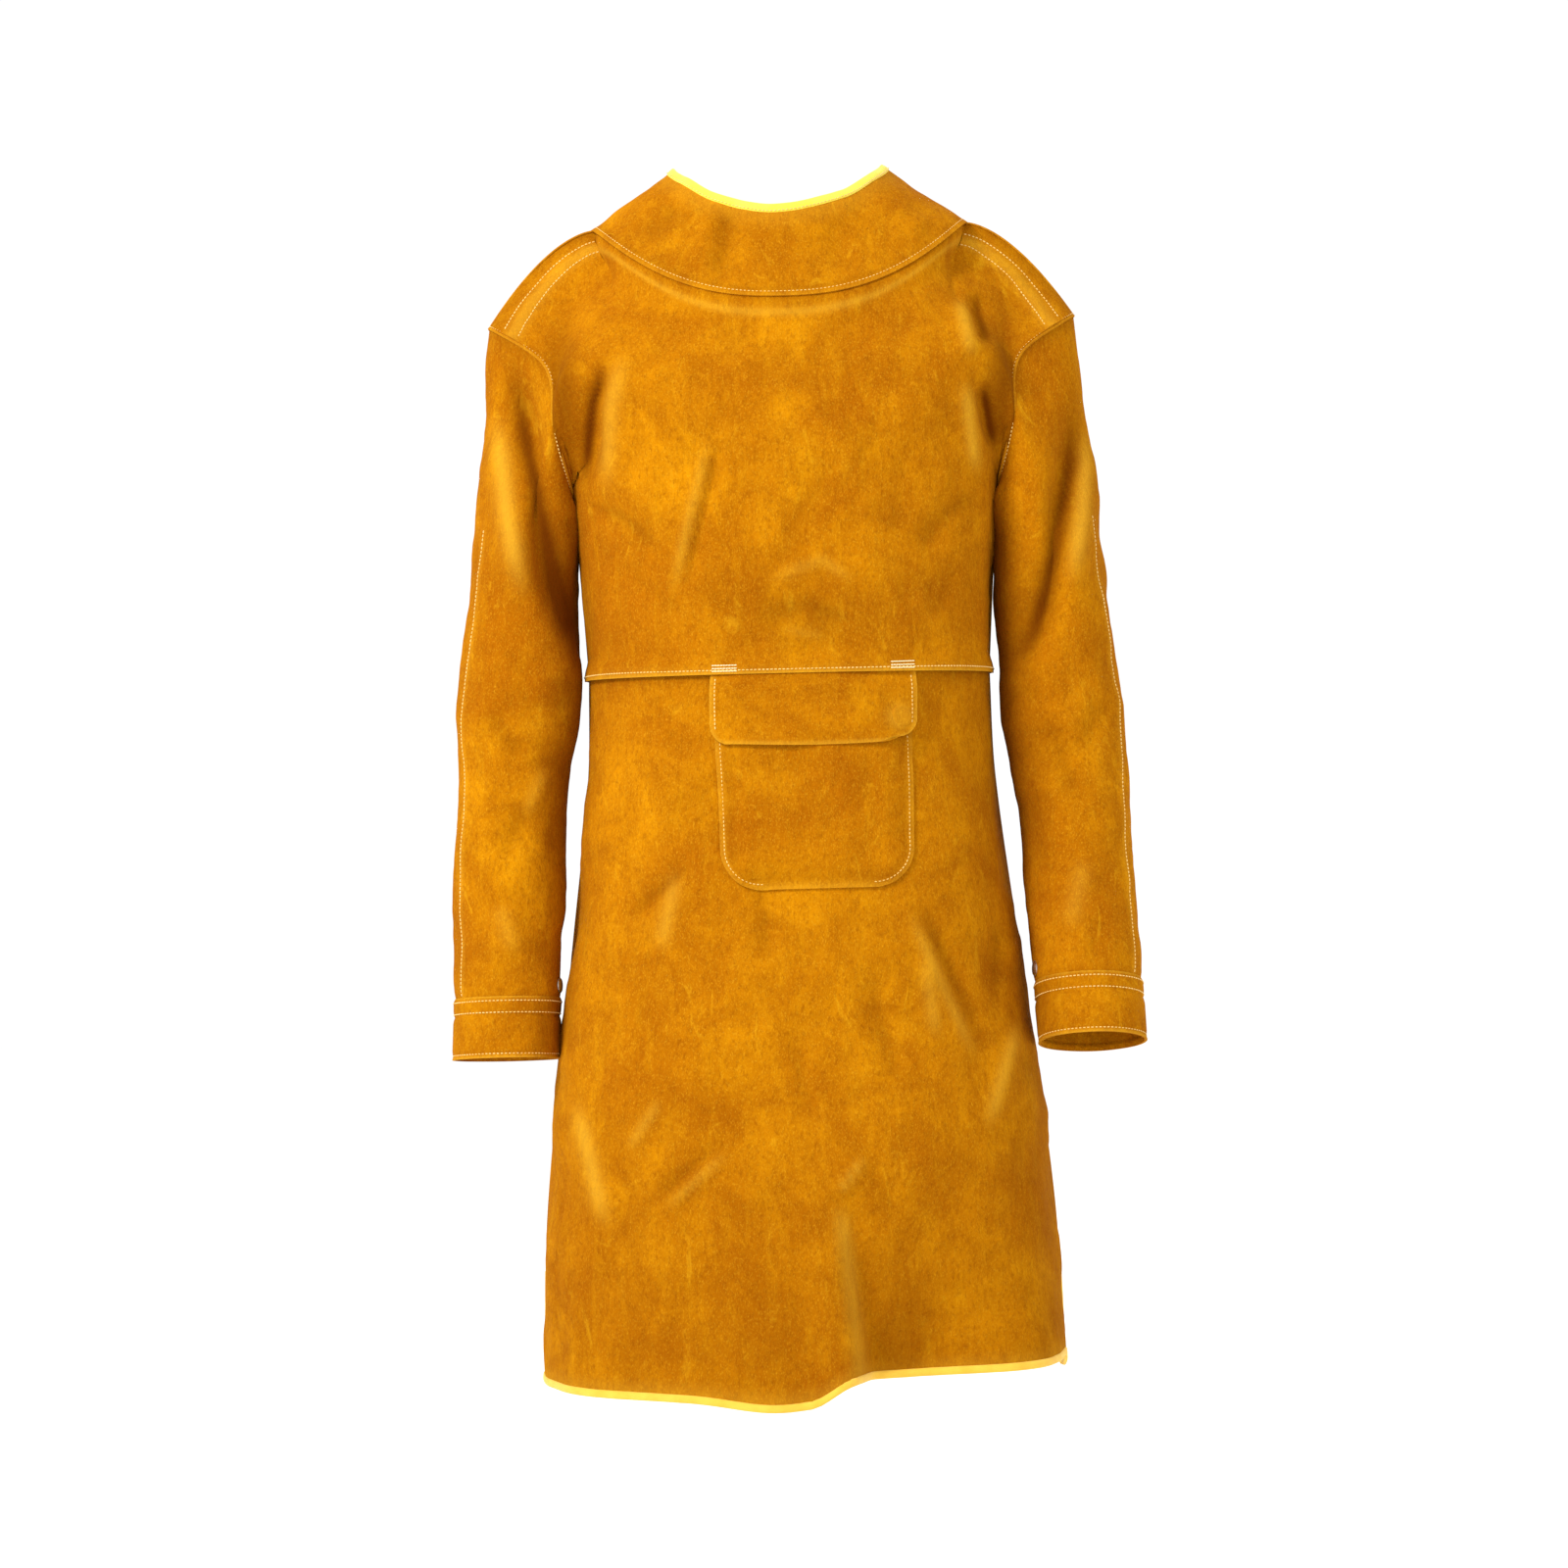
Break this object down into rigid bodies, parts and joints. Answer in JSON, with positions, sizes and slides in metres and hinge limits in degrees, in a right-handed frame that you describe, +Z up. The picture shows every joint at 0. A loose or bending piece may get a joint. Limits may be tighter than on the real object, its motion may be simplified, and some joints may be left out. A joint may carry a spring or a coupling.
{
  "type": "leather welding jacket",
  "caption": "Knee-length split-leather welding jacket with a wide collar, back opening, bending sleeves, snap cuffs and a flapped patch pocket.",
  "frame": {"origin": "middle of the neck, level with the tops of the shoulders, where the jacket is held up", "axes": "+Z up, -Y the closed front, +X to the right as seen from the front"},
  "size_m": [0.612, 0.3418, 1.0814],
  "materials": {
    "leather": "brushed split cowhide with a short nap, matt",
    "binding": "woven yellow tape",
    "snap_metal": "nickelled"
  },
  "bodies": {
    "coat": {"front_bodice": "leather", "front_skirt": "leather", "collar": "leather", "collar_binding": "binding", "hem_binding_front": "binding", "patch_pocket": "leather", "pocket_snap_stud": "snap_metal", "side_back_bodice_left": "leather", "side_back_bodice_right": "leather", "side_back_skirt_left": "leather", "side_back_skirt_right": "leather", "hem_binding_side_left": "binding", "hem_binding_side_right": "binding", "neck_binding_side_left": "binding", "neck_binding_side_right": "binding", "vent_binding_front_left": "binding", "vent_binding_front_right": "binding", "vent_binding_back_left": "binding", "vent_binding_back_right": "binding"},
    "pocket_flap": {"pocket_flap": "leather", "pocket_snap_cap": "snap_metal"},
    "back_right": {"back_bodice_right": "leather", "back_skirt_right": "leather", "neck_binding_back_right": "binding", "edge_binding_right": "binding", "hem_binding_back_right": "binding"},
    "back_left": {"back_bodice_left": "leather", "back_skirt_left": "leather", "neck_binding_back_left": "binding", "edge_binding_left": "binding", "hem_binding_back_left": "binding", "neck_snap_stud": "snap_metal", "waist_snap_stud": "snap_metal"},
    "neck_tab": {"neck_tab": "leather", "neck_snap_cap": "snap_metal"},
    "waist_tab": {"waist_tab": "leather", "waist_snap_cap": "snap_metal"},
    "upper_sleeve_left": {"upper_sleeve_left": "leather"},
    "lower_sleeve_left": {"lower_sleeve_left": "leather", "cuff_left": "leather", "cuff_snap_stud_left": "snap_metal", "vent_snap_left": "snap_metal"},
    "cuff_tab_left": {"cuff_tab_left": "leather", "cuff_snap_cap_left": "snap_metal"},
    "upper_sleeve_right": {"upper_sleeve_right": "leather"},
    "lower_sleeve_right": {"lower_sleeve_right": "leather", "cuff_right": "leather", "cuff_snap_stud_right": "snap_metal", "vent_snap_right": "snap_metal"},
    "cuff_tab_right": {"cuff_tab_right": "leather", "cuff_snap_cap_right": "snap_metal"}
  },
  "joints": [
    {"name": "pocket_flap_lift", "type": "hinge", "parent": "coat", "child": "pocket_flap", "pos_m": [0.02, -0.1375, -0.3978], "axis": [-1, 0, 0], "range_deg": [0, 110]},
    {"name": "back_open_right", "type": "hinge", "parent": "coat", "child": "back_right", "pos_m": [0.118, 0.1, 0.05], "axis": [0.0205, 0.0429, -0.9989], "range_deg": [0, 80]},
    {"name": "back_open_left", "type": "hinge", "parent": "coat", "child": "back_left", "pos_m": [-0.118, 0.1, 0.05], "axis": [0.0205, -0.0429, 0.9989], "range_deg": [0, 80]},
    {"name": "neck_tab_lift", "type": "hinge", "parent": "back_right", "child": "neck_tab", "pos_m": [0.032, 0.10644, -0.04686], "axis": [0, 0.1474, -0.9891], "range_deg": [0, 100]},
    {"name": "waist_tab_lift", "type": "hinge", "parent": "back_right", "child": "waist_tab", "pos_m": [0.032, 0.11931, -0.36677], "axis": [0, -0.038, -0.9993], "range_deg": [0, 100]},
    {"name": "shoulder_left", "type": "hinge", "parent": "coat", "child": "upper_sleeve_left", "pos_m": [-0.262, 0, -0.0775], "axis": [0, 1, 0], "range_deg": [0, 60]},
    {"name": "elbow_left", "type": "hinge", "parent": "upper_sleeve_left", "child": "lower_sleeve_left", "pos_m": [-0.249, 0.006, -0.43], "axis": [-1, 0, 0], "range_deg": [0, 60]},
    {"name": "shoulder_right", "type": "hinge", "parent": "coat", "child": "upper_sleeve_right", "pos_m": [0.262, 0, -0.0775], "axis": [0, -1, 0], "range_deg": [0, 60]},
    {"name": "elbow_right", "type": "hinge", "parent": "upper_sleeve_right", "child": "lower_sleeve_right", "pos_m": [0.249, 0.006, -0.43], "axis": [-1, 0, 0], "range_deg": [0, 60]},
    {"name": "cuff_tab_lift_left", "type": "hinge", "parent": "lower_sleeve_left", "child": "cuff_tab_left", "pos_m": [-0.28305, 0.02047, -0.71155], "axis": [0.035, 0.1045, 0.9939], "range_deg": [0, 90]},
    {"name": "cuff_tab_lift_right", "type": "hinge", "parent": "lower_sleeve_right", "child": "cuff_tab_right", "pos_m": [0.28305, -0.01886, -0.71083], "axis": [0.035, -0.2418, -0.9697], "range_deg": [0, 90]}
  ],
  "couplings": [
    {"joint": "back_open_left", "follows": "back_open_right", "ratio": 1}
  ]
}
